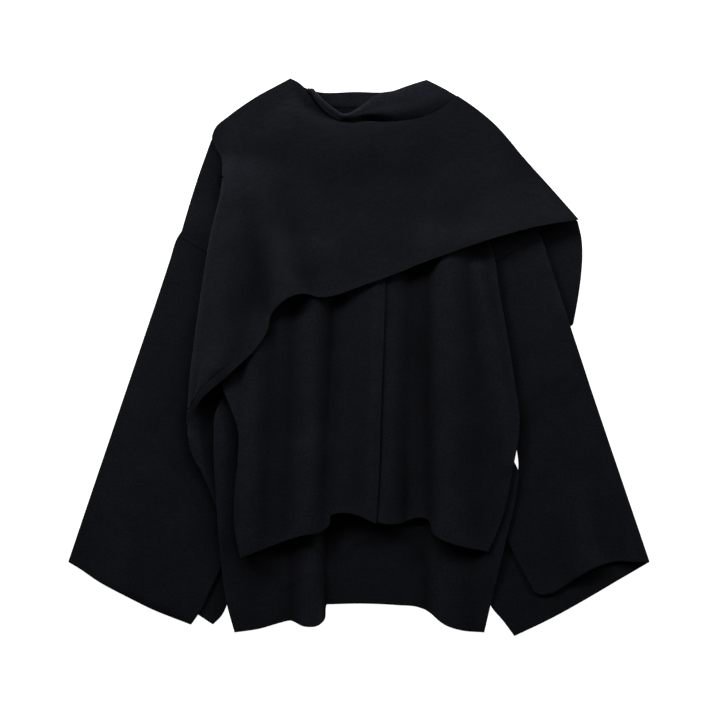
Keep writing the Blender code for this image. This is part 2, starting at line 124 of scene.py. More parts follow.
# The swell of the cloth beside the roll: it grows downwards from its top, and away from the lowest corner
SWELL_TOP_Y = 0.270
SWELL_RAMP = 0.140
SWELL_TAIL = 0.075
SWELL_RISE = 0.009
SWELL_WIDTH = 0.095

# Table, studio and camera, straight above
TABLE_SIZE = 4.0
TABLE_DROP = 0.0005  # below the cloth, so that the two don't lie in one plane
TABLE_WHITE = (0.8, 0.8, 0.8, 1.0)
TABLE_ROUGHNESS = 0.9
TABLE_GLOW = 1.0  # keeps the ground pure white, as in the photo
WHITE = (1.0, 1.0, 1.0, 1.0)
AIR_LIGHT = 0.03
LIGHT_AIM = (0.0, 0.0, 0.0)
# Name, place, size and power in watts
LIGHTS = [
    ("top_light", (0.0, 1.15, 0.75), (1.4, 0.35), 8.6),
    ("left_light", (-1.1, 0.80, 0.70), (0.6, 0.3), 11.0),
    ("right_light", (1.3, 0.60, 0.50), (0.8, 0.25), 7.0),
]
LENS = 150.0
SENSOR = 36.0
VIEW_WIDTH = 0.930
VIEW_CENTRE = (0.0013, -0.0039, 0.006)

# Outlines: each edge is a row of x, y points, top to hem or left to right. A point given twice is a corner.
# A side holds only the points between the ends of the top and of the hem.
CAPE_FRONT = {
    "top": [
        (-0.0885, 0.3595), (-0.078, 0.354), (-0.0705, 0.3475), (-0.063, 0.336),
        (-0.0525, 0.3215), (-0.039, 0.3085), (-0.0255, 0.302), (-0.010, 0.3005), (0.008, 0.302),
        (0.034, 0.302), (0.060, 0.304), (0.081, 0.309), (0.102, 0.3185), (0.1265, 0.3370),
    ],
    "hem": [
        (-0.222, -0.087), (-0.208, -0.061), (-0.166, -0.021), (-0.128, 0.017), (-0.118, 0.034),
        (-0.113, 0.054), (-0.100, 0.069), (-0.086, 0.078), (-0.073, 0.081), (-0.052, 0.077),
        (0.011, 0.094), (0.098, 0.127), (0.168, 0.151), (0.230, 0.168), (0.283, 0.177),
    ],
    "left": [
        (-0.098, 0.354), (-0.135, 0.334), (-0.168, 0.311), (-0.186, 0.295), (-0.190, 0.282),
        (-0.185, 0.270),
        (-0.177, 0.257), (-0.176, 0.240), (-0.193, 0.149), (-0.209, 0.045), (-0.219, -0.039),
    ],
    "right": [(0.136, 0.331), (0.169, 0.306), (0.2145, 0.2555), (0.2585, 0.2045)],
}
CAPE_BACK = {
    "top": [
        (-0.086, 0.344), (-0.062, 0.339), (-0.030, 0.337), (0.030, 0.337), (0.062, 0.342),
        (0.095, 0.351), (0.131, 0.333), (0.169, 0.304), (0.2145, 0.2535), (0.283, 0.175),
    ],
    "hem": [
        (-0.2205, -0.095), (-0.2198, -0.105), (-0.2150, -0.124), (-0.203, -0.149), (-0.192, -0.174),
        (-0.173, -0.225), (-0.158, -0.250),
    ],
    "left": [
        (-0.109, 0.243), (-0.142, 0.152), (-0.160, 0.094), (-0.160, 0.094), (-0.199, 0.071),
        (-0.206, 0.035), (-0.214, -0.030), (-0.218, -0.069),
    ],
    "right": [
        (0.288, 0.152), (0.289, 0.133), (0.288, 0.113), (0.283, 0.074), (0.277, 0.042),
        (0.277, 0.042), (0.027, -0.140),
    ],
}
BODY_BACK = {
    "top": [
        (-0.231, 0.156), (-0.209, 0.230), (-0.191, 0.281), (-0.191, 0.281), (-0.131, 0.329),
        (-0.087, 0.352), (-0.087, 0.352), (-0.069, 0.335), (-0.038, 0.325), (0.000, 0.324),
        (0.038, 0.325), (0.069, 0.335), (0.087, 0.352), (0.087, 0.352), (0.131, 0.329),
        (0.191, 0.281), (0.191, 0.281), (0.209, 0.230), (0.231, 0.156),
    ],
    "hem": [
        (-0.161, -0.356), (-0.127, -0.351), (-0.103, -0.344), (-0.089, -0.341), (-0.069, -0.348),
        (-0.055, -0.347), (-0.047, -0.341), (-0.042, -0.320), (-0.042, -0.320), (0.001, -0.319),
        (0.050, -0.321), (0.076, -0.3235), (0.090, -0.329), (0.111, -0.346), (0.131, -0.353),
        (0.162, -0.356),
    ],
    "left": [
        (-0.173, 0.121), (-0.173, 0.121), (-0.178, 0.009), (-0.177, -0.053), (-0.185, -0.072),
        (-0.187, -0.105), (-0.184, -0.189), (-0.180, -0.244), (-0.170, -0.323),
    ],
    "right": [
        (0.173, 0.121), (0.173, 0.121), (0.178, 0.061), (0.186, -0.030), (0.193, -0.112),
        (0.200, -0.134), (0.2055, -0.146), (0.204, -0.172), (0.190, -0.236), (0.170, -0.321),
    ],
}
RIGHT_FRONT = {
    "top": [
        (-0.151, 0.305), (-0.116, 0.330), (-0.084, 0.344), (-0.084, 0.344), (-0.064, 0.319),
        (-0.038, 0.300), (-0.012, 0.294), (0.033, 0.292),
    ],
    "hem": [
        (-0.152, -0.259), (-0.130, -0.250), (-0.103, -0.240), (-0.073, -0.230), (-0.045, -0.223),
        (-0.038, -0.216), (-0.036, -0.204), (-0.030, -0.202), (-0.018, -0.201), (0.001, -0.205),
        (0.022, -0.215),
    ],
    "left": [
        (-0.155, 0.230), (-0.160, 0.139), (-0.173, -0.004), (-0.175, -0.042), (-0.169, -0.057),
        (-0.161, -0.077), (-0.155, -0.097), (-0.155, -0.124), (-0.160, -0.179), (-0.161, -0.209),
    ],
    "right": [(0.034, 0.191), (0.034, 0.100), (0.029, -0.049), (0.025, -0.166)],
}
LEFT_FRONT = {
    "top": [
        (0.014, 0.292), (0.051, 0.295), (0.073, 0.313), (0.087, 0.344), (0.087, 0.344),
        (0.125, 0.326), (0.156, 0.303),
    ],
    "hem": [
        (0.005, -0.200), (0.023, -0.213), (0.044, -0.216), (0.058, -0.214), (0.071, -0.209),
        (0.086, -0.209), (0.092, -0.214), (0.095, -0.226), (0.106, -0.235), (0.126, -0.243),
        (0.167, -0.252),
    ],
    "left": [(0.015, 0.191), (0.014, 0.100), (0.009, -0.049)],
    "right": [
        (0.161, 0.230), (0.166, 0.151), (0.171, 0.139), (0.182, 0.080), (0.201, -0.033),
        (0.207, -0.082), (0.199, -0.142), (0.183, -0.214),
    ],
}
LEFT_SLEEVE_FRONT = {
    "top": [(0.139, 0.099), (0.167, 0.132), (0.197, 0.149), (0.2255, 0.168)],
    "hem": [
        (0.226, -0.303), (0.233, -0.307), (0.248, -0.306), (0.265, -0.297), (0.282, -0.285),
        (0.305, -0.272), (0.325, -0.266), (0.374, -0.265),
    ],
    "left": [
        (0.169, 0.029), (0.190, -0.030), (0.202, -0.108), (0.206, -0.142), (0.199, -0.173),
        (0.191, -0.205), (0.191, -0.233), (0.200, -0.254), (0.213, -0.279),
    ],
    "right": [(0.2352, 0.1535), (0.2445, 0.1265), (0.2615, 0.075), (0.279, 0.022)],
}
LEFT_SLEEVE_BACK = {
    "top": LEFT_SLEEVE_FRONT["top"],
    "hem": [(0.201, -0.361), (0.248, -0.3385), (0.291, -0.3148), (0.334, -0.2895), (0.376, -0.265)],
    "left": [
        (0.169, 0.029), (0.190, -0.030), (0.202, -0.108), (0.206, -0.142), (0.196, -0.186),
        (0.183, -0.238), (0.170, -0.283), (0.165, -0.305), (0.170, -0.321), (0.186, -0.341),
    ],
    "right": [(0.2352, 0.1535), (0.2445, 0.1265), (0.2615, 0.075), (0.279, 0.022)],
}
RIGHT_SLEEVE_FRONT = {
    "top": [(-0.2255, 0.168), (-0.197, 0.149), (-0.167, 0.132), (-0.139, 0.099)],
    "hem": [
        (-0.376, -0.265), (-0.364, -0.272), (-0.339, -0.2885), (-0.307, -0.3060), (-0.269, -0.3255),
        (-0.217, -0.346),
    ],
    "left": [(-0.2352, 0.1535), (-0.2440, 0.1265), (-0.2610, 0.075), (-0.279, 0.022)],
    "right": [
        (-0.169, 0.029), (-0.190, -0.030), (-0.191, -0.108), (-0.186, -0.147), (-0.179, -0.186),
        (-0.173, -0.225), (-0.177, -0.267), (-0.191, -0.299), (-0.206, -0.330),
    ],
}
RIGHT_SLEEVE_BACK = {
    "top": RIGHT_SLEEVE_FRONT["top"],
    "hem": [
        (-0.376, -0.265), (-0.324, -0.281), (-0.272, -0.302), (-0.226, -0.321), (-0.207, -0.334),
        (-0.189, -0.346),
    ],
    "left": [(-0.2352, 0.1535), (-0.2440, 0.1265), (-0.2610, 0.075), (-0.279, 0.022)],
    "right": [
        (-0.169, 0.029), (-0.187, -0.030), (-0.190, -0.108), (-0.185, -0.147), (-0.177, -0.186),
        (-0.165, -0.238), (-0.160, -0.283), (-0.168, -0.313), (-0.178, -0.335),
    ],
}
COLLAR_BACK = {
    "top": [
        (-0.088, 0.3555), (-0.075, 0.3500), (-0.058, 0.3435), (-0.005, 0.3425), (0.049, 0.3435),
        (0.069, 0.3490), (0.086, 0.3550),
    ],
    "hem": [
        (-0.086, 0.3510), (-0.068, 0.3335), (-0.038, 0.3235), (0.000, 0.3225), (0.038, 0.3235),
        (0.068, 0.3335), (0.085, 0.3515),
    ],
    "left": [],
    "right": [],
}
COLLAR_FRONT = {
    "top": [
        (-0.060, 0.3445), (-0.053, 0.336), (-0.043, 0.326), (-0.030, 0.316), (-0.021, 0.311),
        (-0.013, 0.3115), (-0.001, 0.3185), (0.009, 0.326), (0.0195, 0.335), (0.0285, 0.339),
        (0.043, 0.3415), (0.060, 0.3475), (0.076, 0.3530), (0.087, 0.3565),
    ],
    "hem": [
        (-0.0665, 0.3475), (-0.0592, 0.3365), (-0.049, 0.3225), (-0.0365, 0.3115), (-0.024, 0.3055),
        (-0.012, 0.3042), (0.008, 0.3057), (0.034, 0.3052), (0.060, 0.3045), (0.0815, 0.3075),
        (0.1028, 0.3172), (0.1272, 0.3362),
    ],
    "left": [],
    "right": [(0.104, 0.3485)],
}

# Folds: start x, y; end x, y; rise at the start and at the end; half width to the left and to the right
# of the way from start to end. Every fold is a soft ridge; the cloth between ridges is a valley.
CAPE_FOLDS = [
    (-0.137, 0.269, -0.090, 0.074, 0.000, 0.015, 0.034, 0.032),
    (-0.180, 0.120, -0.176, -0.010, 0.000, 0.004, 0.030, 0.024),
    (-0.094, 0.334, -0.077, 0.311, 0.003, 0.0075, 0.018, 0.060),
    (-0.077, 0.311, -0.046, 0.2985, 0.0075, 0.009, 0.018, 0.080),
    (-0.046, 0.2985, -0.010, 0.299, 0.009, 0.009, 0.013, 0.084),
    (-0.010, 0.299, 0.060, 0.302, 0.009, 0.008, 0.012, 0.084),
    (0.060, 0.302, 0.124, 0.334, 0.008, 0.002, 0.014, 0.080),
    (0.180, 0.155, 0.270, 0.180, 0.011, 0.011, 0.070, 0.050),
]
CAPE_BACK_FOLDS = [
    (-0.214, -0.050, -0.219, -0.106, 0.000, 0.009, 0.024, 0.010),
    (-0.219, -0.106, -0.184, -0.200, 0.009, 0.002, 0.024, 0.010),
]
RIGHT_FRONT_FOLDS = [
    (-0.134, 0.009, -0.143, -0.252, 0.005, 0.007, 0.024, 0.020),
    (-0.056, 0.110, -0.066, -0.232, 0.012, 0.009, 0.022, 0.032),
    (0.028, 0.110, 0.020, -0.214, 0.0006, 0.0010, 0.014, 0.018),
]
LEFT_FRONT_FOLDS = [
    (0.042, 0.100, 0.034, -0.216, 0.006, 0.0145, 0.026, 0.044),
    (0.110, 0.120, 0.114, -0.240, 0.013, 0.011, 0.045, 0.022),
    (0.150, 0.110, 0.196, -0.130, 0.006, 0.003, 0.016, 0.030),
]
BODY_BACK_FOLDS = [
    (-0.060, -0.150, -0.058, -0.352, 0.005, 0.013, 0.015, 0.030),
    (0.104, -0.200, 0.109, -0.352, 0.003, 0.011, 0.040, 0.022),
]
RIGHT_SLEEVE_FOLDS = [
    (-0.300, -0.100, -0.318, -0.300, 0.000, 0.004, 0.040, 0.040),
]
LEFT_SLEEVE_FOLDS = [
    (0.268, -0.150, 0.300, -0.276, 0.000, 0.008, 0.030, 0.040),
    (0.350, -0.140, 0.356, -0.266, 0.000, 0.004, 0.030, 0.018),
]

# How the front collar falls from its rim to its hem: the share of the way, and the height
COLLAR_FALL = [(0.0, 0.0105), (0.08, 0.0120), (0.42, 0.0118), (0.68, 0.0100), (0.84, 0.0055), (1.0, 0.0)]
# Along the front collar, from the wearer's right end to the left one: the share of the way, and the share of
# that height
COLLAR_RUN = [(0.0, 0.15), (0.10, 0.80), (0.20, 1.0), (0.66, 1.0), (0.84, 0.70), (1.0, 0.20)]
# Along it in the same way: how many times sooner it falls
COLLAR_HASTE = [(0.0, 1.75), (0.20, 1.75), (0.36, 1.45), (0.56, 1.0), (0.75, 1.0), (1.0, 1.0)]

# Where the cape lies close on what is below it, as lines with a share and a half width to each side
CAPE_HUGS = [
    (-0.200, 0.302, -0.187, 0.278, 0.5, 0.6, 0.036, 0.036),
    (-0.187, 0.278, -0.178, 0.232, 0.6, 0.4, 0.036, 0.036),
    (-0.060, 0.337, -0.024, 0.305, 1.0, 1.0, 0.022, 0.022),
]

# Seams that lie flush, as lines with a depth and a half width to each side
CAPE_SEAMS = [
    (-0.200, 0.302, -0.184, 0.262, 0.0008, 0.0020, 0.022, 0.022),
    (-0.184, 0.262, -0.180, 0.222, 0.0020, 0.0000, 0.022, 0.022),
]
BODY_SEAMS = [
    (-0.236, 0.160, -0.170, 0.118, 0.0022, 0.0020, 0.022, 0.022),
    (0.236, 0.160, 0.170, 0.118, 0.0014, 0.0016, 0.018, 0.018),
]
FRONT_SEAMS = [
    (0.0345, 0.160, 0.0220, -0.215, 0.0016, 0.0030, 0.016, 0.016),
    (0.006, 0.110, -0.004, -0.216, 0.0020, 0.0050, 0.026, 0.024),
]
COLLAR_SEAMS = [
    (-0.080, 0.3400, 0.080, 0.3400, 0.0022, 0.0022, 0.060, 0.060),
]
COLLAR_WELTS = [
    (-0.050, 0.3272, 0.050, 0.3272, 0.0012, 0.0012, 0.0018, 0.0018),
    (-0.050, 0.3240, 0.050, 0.3240, 0.0012, 0.0012, 0.0018, 0.0018),
]

# Waves of the cloth that is laid by hand: waves per metre along x and y, start and height
UNEVEN_WAVES = [
    (9.0, 3.5, 0.0, 0.00030),
    (-6.5, 11.0, 1.3, 0.00026),
    (17.0, -8.0, 2.1, 0.00012),
    (4.0, 21.0, 4.0, 0.00010),
]


def curve(points, count):
    """Evenly spaced points along a smooth curve through the given ones; a point given twice is a corner."""
    runs = [[points[0]]]
    for before, point in zip(points, points[1:]):
        if before == point:
            runs.append([])
        runs[-1].append(point)
    path = np.concatenate([smooth_run(np.array(run)) for run in runs])
    along = lengths(path)
    even = np.linspace(0.0, along[-1], count)
    return np.column_stack([np.interp(even, along, path[:, axis]) for axis in (0, 1)])


def lengths(path):
    """The distance along a path at each of its points."""
    steps = np.linalg.norm(np.diff(path, axis=0), axis=1)
    return np.concatenate([[0.0], np.cumsum(steps)])


def hermite(s, start, end, leave, arrive):
    """The cubic from start to end at shares s of the way, with the slopes that it leaves and arrives with."""
    level = (2 * s**3 - 3 * s**2 + 1) * start + (3 * s**2 - 2 * s**3) * end
    return level + (s**3 - 2 * s**2 + s) * leave + (s**3 - s**2) * arrive


def smooth_run(points, samples=16):
    """A dense Hermite curve through points with no corner between them."""
    knots = lengths(points)
    slopes = np.gradient(points, knots, axis=0)
    spans = np.diff(knots)[:, None, None]
    s = np.linspace(0.0, 1.0, samples)[None, :, None]
    start, end = points[:-1, None], points[1:, None]
    leave, arrive = slopes[:-1, None] * spans, slopes[1:, None] * spans
    return hermite(s, start, end, leave, arrive).reshape(-1, 2)


def plan_of(outline, cell=CELL):
    """A fine grid of x, y points that fills an outline, hem row first."""
    top, hem = outline["top"], outline["hem"]
    left = [top[0], *outline["left"], hem[0]]
    right = [top[-1], *outline["right"], hem[-1]]
    across = round(max(lengths(np.array(edge))[-1] for edge in (top, hem)) / cell)
    down = round(max(lengths(np.array(edge))[-1] for edge in (left, right)) / cell)
    upper, lower = curve(top, across + 1)[None], curve(hem, across + 1)[None]
    left, right = curve(left, down + 1)[:, None], curve(right, down + 1)[:, None]
    u = np.linspace(0.0, 1.0, across + 1)[None, :, None]
    v = np.linspace(0.0, 1.0, down + 1)[:, None, None]
    corners = (1 - v) * ((1 - u) * upper[:, :1] + u * upper[:, -1:])
    corners = corners + v * ((1 - u) * lower[:, :1] + u * lower[:, -1:])
    plan = (1 - v) * upper + v * lower + (1 - u) * left + u * right - corners
    return plan[::-1]


def ease(share):
    """A step from 0 to 1 that starts and ends level."""
    share = np.clip(share, 0.0, 1.0)
    return share * share * (3 - 2 * share)


def levelled(heights):
    """Heights along an edge, raised to their neighbours and then evened out."""
    for blend in (np.max, np.mean):
        wide = np.pad(heights, EDGE_REACH, mode="edge")
        heights = np.array([blend(wide[at : at + 2 * EDGE_REACH + 1]) for at in range(len(heights))])
    return heights


def rise_of(plan, folds):
    """The height that a panel's own folds add at each point of its plan."""
    total = np.zeros(plan.shape[:2])
    for x0, y0, x1, y1, rise0, rise1, left, right in folds:
        way = np.array([x1 - x0, y1 - y0])
        offset = plan - np.array([x0, y0])
        along = np.clip(offset @ way / (way @ way), 0.0, 1.0)
        side = (offset[..., 0] * way[1] - offset[..., 1] * way[0]) / np.linalg.norm(way)
        away = np.linalg.norm(offset - along[..., None] * way, axis=-1)
        sway = side / np.maximum(away, NEAREST)
        width = (left + right) / 2 + (right - left) / 2 * sway
        bump = np.clip(1 - (away / width) ** 2, 0.0, None) ** 2
        total = np.maximum(total, (rise0 + (rise1 - rise0) * along) * bump)
    return total


def along_table(table, share):
    """The smooth curve through a table of places and values, read at each share of the way."""
    places, values = np.array(table).T
    slopes = np.gradient(values, places)
    at = np.clip(np.searchsorted(places, share, side="right") - 1, 0, len(places) - 2)
    span = places[at + 1] - places[at]
    s = (share - places[at]) / span
    return hermite(s, values[at], values[at + 1], span * slopes[at], span * slopes[at + 1])


def unevenness(plan):
    """The small height changes of cloth that nobody pressed."""
    total = np.zeros(plan.shape[:2])
    for along_x, along_y, start, height in UNEVEN_WAVES:
        total += height * np.sin(2 * np.pi * (plan[..., 0] * along_x + plan[..., 1] * along_y) + start)
    return total


def spread(values, reach, blend):
    """Slides a window over both axes of the height map and blends what it holds."""
    for axis in (0, 1):
        shifted = [np.roll(values, step, axis) for step in range(-reach, reach + 1)]
        values = blend(shifted)
    return values


def highest(layers):
    """A blend for spread: the largest of the values in the window."""
    return np.maximum.reduce(layers)


def average(layers):
    """A blend for spread: the mean of the values in the window."""
    return sum(layers) / len(layers)


class Pile:
    """The height of everything laid so far, on a grid of small cells."""

    def __init__(self):
        columns = round(2 * MAP_HALF_WIDTH / MAP_STEP) + 1
        rows = round(2 * MAP_HALF_LENGTH / MAP_STEP) + 1
        self.top = np.zeros((rows, columns))

    def cells(self, plan):
        """The row and column of each point of a plan, in parts of a cell."""
        column = (plan[..., 0] + MAP_HALF_WIDTH) / MAP_STEP
        row = (plan[..., 1] + MAP_HALF_LENGTH) / MAP_STEP
        return row, column

    def cover(self, plan, reach):
        """The height of a cloth that bridges hollows narrower than about twice the reach."""
        window = round(reach / MAP_STEP)
        cloth = spread(self.top, window + 2, highest)
        cloth = spread(cloth, window // 2, average)
        cloth = spread(cloth, window - window // 2, average)
        return self.read(cloth, plan)

    def read(self, values, plan):
        """The values of a map at each point of a plan."""
        row, column = self.cells(plan)
        r, c = np.floor(row).astype(int), np.floor(column).astype(int)
        dr, dc = row - r, column - c
        low = values[r, c] * (1 - dc) + values[r, c + 1] * dc
        high = values[r + 1, c] * (1 - dc) + values[r + 1, c + 1] * dc
        return low * (1 - dr) + high * dr

    def painted_shading(self, places):
        """Painted shading: less than 1 where cloth lies lower than what is around it (painted shade), and
        more where it stands above it (painted highlight).
        """
        painted_shading = np.ones(len(places))
        laid = (self.top > 0).astype(float)
        for around, change in ((WIDE_AROUND, WIDE_PAINTED_SHADING), (NEAR_AROUND, NEAR_PAINTED_SHADING)):
            window = round(around / MAP_STEP)
            height = spread(spread(self.top, window, average), window // 2, average)
            share = spread(spread(laid, window, average), window // 2, average)
            level = self.read(height / np.maximum(share, LEAST_LAID), places)
            painted_shading -= change * (level - WALL - places[:, 2])
        return np.clip(painted_shading, PAINTED_SHADING_LEAST, PAINTED_SHADING_MOST)

    def add(self, points):
        """Raises the map to a panel's upper face."""
        fine = refine(points)
        row, column = self.cells(fine)
        np.maximum.at(self.top, (np.rint(row).astype(int), np.rint(column).astype(int)), fine[..., 2])


def refine(points):
    """Points spread closely over each face of a grid."""
    rows, columns = points.shape[:2]
    longest = max(np.linalg.norm(np.diff(points, axis=axis), axis=-1).max() for axis in (0, 1))
    count = max(2, int(np.ceil(longest / SAMPLE_STEP)))
    at_row = np.linspace(0, rows - 1, (rows - 1) * count + 1)
    at_column = np.linspace(0, columns - 1, (columns - 1) * count + 1)
    r = np.minimum(at_row.astype(int), rows - 2)
    c = np.minimum(at_column.astype(int), columns - 2)
    s, t = (at_row - r)[:, None, None], (at_column - c)[None, :, None]
    low = points[np.ix_(r, c)] * (1 - t) + points[np.ix_(r, c + 1)] * t
    high = points[np.ix_(r + 1, c)] * (1 - t) + points[np.ix_(r + 1, c + 1)] * t
    return low * (1 - s) + high * s


def upper_face(points):
    """The grid moved out by the wall along its normals."""
    across = np.gradient(points, axis=1)
    up = np.gradient(points, axis=0)
    normals = np.cross(across, up)
    return points + WALL * normals / np.linalg.norm(normals, axis=-1, keepdims=True)


def lay(pile, plan, reach, rise, hugs=()):
    """The underside of a panel laid on the pile, with its own folds standing above it."""
    height = pile.cover(plan, reach)
    height = height + rise_of(plan, hugs) * (pile.cover(plan, CLOSE) - height)
    return np.dstack([plan, height + np.where(height > 0, GAP + unevenness(plan), 0.0) + rise])


def socket(group, name, kind, way, value=None):
    """Gives a node group a named input or output."""
    made = group.interface.new_socket(name=name, in_out=way, socket_type=kind)
    if value is not None:
        made.default_value = value
    return made


def felt_effect():
    """A node group: the colour and the height of a felted double knit on a grain measured in metres, with
    painted shading multiplied into the colour.
    """
    group = bpy.data.node_groups.new("felted_double_knit", "ShaderNodeTree")
    socket(group, "Grain", "NodeSocketVector", "INPUT")
    socket(group, "Cloth", "NodeSocketColor", "INPUT", CLOTH_BLACK)
    # Shade: the painted shading of hollows and ridges, read from each vertex
    socket(group, "Shade", "NodeSocketFloat", "INPUT", 1.0)
    socket(group, "Shade spread", "NodeSocketFloat", "INPUT", SHADE_SPREAD)
    socket(group, "Colour", "NodeSocketColor", "OUTPUT")
    socket(group, "Height", "NodeSocketFloat", "OUTPUT")
    nodes, links = group.nodes, group.links
    entry, leave = nodes.new("NodeGroupInput"), nodes.new("NodeGroupOutput")

    fibre = nodes.new("ShaderNodeTexNoise")
    fibre.inputs["Scale"].default_value = FIBRE_SCALE
    fibre.inputs["Detail"].default_value = FIBRE_DETAIL
    links.new(entry.outputs["Grain"], fibre.inputs["Vector"])

    cloud = nodes.new("ShaderNodeTexNoise")
    cloud.inputs["Scale"].default_value = CLOUD_SCALE
    cloud.inputs["Detail"].default_value = CLOUD_DETAIL
    links.new(entry.outputs["Grain"], cloud.inputs["Vector"])

    both = nodes.new("ShaderNodeMath")
    both.operation = "MULTIPLY_ADD"
    both.inputs[1].default_value = CLOUD_SHARE
    links.new(cloud.outputs["Fac"], both.inputs[0])
    links.new(fibre.outputs["Fac"], both.inputs[2])

    centred = nodes.new("ShaderNodeMath")
    centred.operation = "SUBTRACT"
    centred.inputs[1].default_value = (1 + CLOUD_SHARE) / 2
    links.new(both.outputs[0], centred.inputs[0])

    scaled = nodes.new("ShaderNodeMath")
    scaled.operation = "MULTIPLY_ADD"
    scaled.inputs[2].default_value = 1.0
    links.new(centred.outputs[0], scaled.inputs[0])
    links.new(entry.outputs["Shade spread"], scaled.inputs[1])

    # The painted shading darkens the grain's tone in hollows and lightens it on ridges and edges
    shaded = nodes.new("ShaderNodeMath")
    shaded.operation = "MULTIPLY"
    links.new(scaled.outputs[0], shaded.inputs[0])
    links.new(entry.outputs["Shade"], shaded.inputs[1])

    tinted = nodes.new("ShaderNodeVectorMath")
    tinted.operation = "SCALE"
    links.new(entry.outputs["Cloth"], tinted.inputs[0])
    links.new(shaded.outputs[0], tinted.inputs["Scale"])
    links.new(tinted.outputs[0], leave.inputs["Colour"])
    links.new(fibre.outputs["Fac"], leave.inputs["Height"])
    return group


def cloth_material(name, effect):
    """Felted knit with a faint sheen on its nap, and painted shading of hollows and ridges in its base
    colour.
    """
    material = bpy.data.materials.new(name)
    material.use_nodes = True
    nodes, links = material.node_tree.nodes, material.node_tree.links
    shader = nodes["Principled BSDF"]
    shader.inputs["Roughness"].default_value = ROUGHNESS
    shader.inputs["Specular IOR Level"].default_value = SHINE
    shader.inputs["Sheen Weight"].default_value = NAP_SHEEN
    shader.inputs["Sheen Roughness"].default_value = NAP_SPREAD
    shader.inputs["Sheen Tint"].default_value = NAP_TINT
    grain = nodes.new("ShaderNodeUVMap")
    grain.uv_map = "grain"
    felt = nodes.new("ShaderNodeGroup")
    felt.node_tree = effect
    links.new(grain.outputs["UV"], felt.inputs["Grain"])
    # Painted shade and painted highlight that each vertex carries, read into the colour
    painted_shading_node = nodes.new("ShaderNodeAttribute")
    painted_shading_node.attribute_name = "painted_shading"
    links.new(painted_shading_node.outputs["Fac"], felt.inputs["Shade"])
    links.new(felt.outputs["Colour"], shader.inputs["Base Color"])
    bump = nodes.new("ShaderNodeBump")
    bump.inputs["Strength"].default_value = NAP_BUMP
    bump.inputs["Distance"].default_value = NAP_HEIGHT
    links.new(felt.outputs["Height"], bump.inputs["Height"])
    links.new(bump.outputs["Normal"], shader.inputs["Normal"])
    return material


def panel(name, points, grain, material, spare=None):
    """A closed wall built upwards from a grid of points, without the faces that are marked as spare."""
    rows, columns = points.shape[:2]
    shape = bmesh.new()
    bmesh.ops.create_grid(shape, x_segments=columns - 1, y_segments=rows - 1, size=0.5)
    for vertex, place in zip(shape.verts, points.reshape(-1, 3)):
        vertex.co = place
    spots = grain.reshape(-1, 2)
    layer = shape.loops.layers.uv.new("grain")
    for face in shape.faces:
        for loop in face.loops:
            loop[layer].uv = spots[loop.vert.index]
    if spare is not None:
        left_out = [face for face, marked in zip(shape.faces, spare.ravel()) if marked]
        bmesh.ops.delete(shape, geom=left_out, context="FACES")
    mesh = bpy.data.meshes.new(name)
    shape.to_mesh(mesh)
    shape.free()
    mesh.shade_smooth()
    piece = bpy.data.objects.new(name, mesh)
    piece.data.materials.append(material)
    bpy.context.scene.collection.objects.link(piece)
    wall = piece.modifiers.new("wall", "SOLIDIFY")
    wall.thickness = WALL
    wall.offset = 1.0
    wall.use_even_offset = False
    edge = piece.modifiers.new("edge", "BEVEL")
    edge.width = EDGE_ROUND
    edge.segments = EDGE_STEPS
    edge.limit_method = "ANGLE"
    edge.angle_limit = math.radians(EDGE_ANGLE)
    return piece


def dress(piece, node):
    """Ties a finished panel to its node in the frame and hides that node."""
    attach(piece, "root")
    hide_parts(node)


def laid_panel(name, pile, outline, reach, material, folds=(), seams=(), cell=CELL):
    """A panel laid on the pile, which then carries what comes next."""
    plan = plan_of(outline, cell)
    points = lay(pile, plan, reach, rise_of(plan, folds) - rise_of(plan, seams))
    pile.add(upper_face(points))
    return panel(name, points, plan, material)


def collar_front(name, pile, material):
    """The funnel neck's front, which stands at its rim and falls behind the cowl's crest, and its points."""
    plan = plan_of(COLLAR_FRONT, FINE_CELL)
    rows, columns = plan.shape[:2]
    along = np.linspace(0.0, 1.0, columns)[None, :]
    way = np.linspace(1.0, 0.0, rows)[:, None] * along_table(COLLAR_HASTE, along)
    rise = along_table(COLLAR_FALL, np.clip(way, 0.0, 1.0)) * along_table(COLLAR_RUN, along)
    points = lay(pile, plan, SOFT, rise)
    return panel(name, points, plan, material), points


def outward(edge):
    """The directions square to a panel's left edge that point away from its cloth."""
    run = np.gradient(edge, axis=0)
    out = np.column_stack([-run[:, 1], run[:, 0]])
    return out / np.linalg.norm(out, axis=1, keepdims=True)


def roll_ramp(edge):
    """How far the roll has grown at each point of the cape's side."""
    grown = np.clip((ROLL_TOP_Y - edge[:, 1]) / ROLL_RAMP, 0.0, 1.0)
    return grown * np.clip((edge[:, 1] - ROLL_END_Y) / ROLL_TAIL, 0.0, 1.0)


def beside_roll(plan):
    """The share of a height at the cape's side that reaches each point of its plan."""
    away = np.linalg.norm(plan - plan[:, :1], axis=-1)
    return np.clip(1 - (away / SWELL_WIDTH) ** 2, 0.0, None) ** 2


def swell_of(plan):
    """The height that the cloth beside the roll adds at each point of the cape's plan."""
    lift = ease((SWELL_TOP_Y - plan[:, :1, 1]) / SWELL_RAMP)
    lift = lift * ease(np.linalg.norm(plan - plan[0, 0], axis=-1) / SWELL_TAIL)
    return SWELL_RISE * lift * beside_roll(plan)


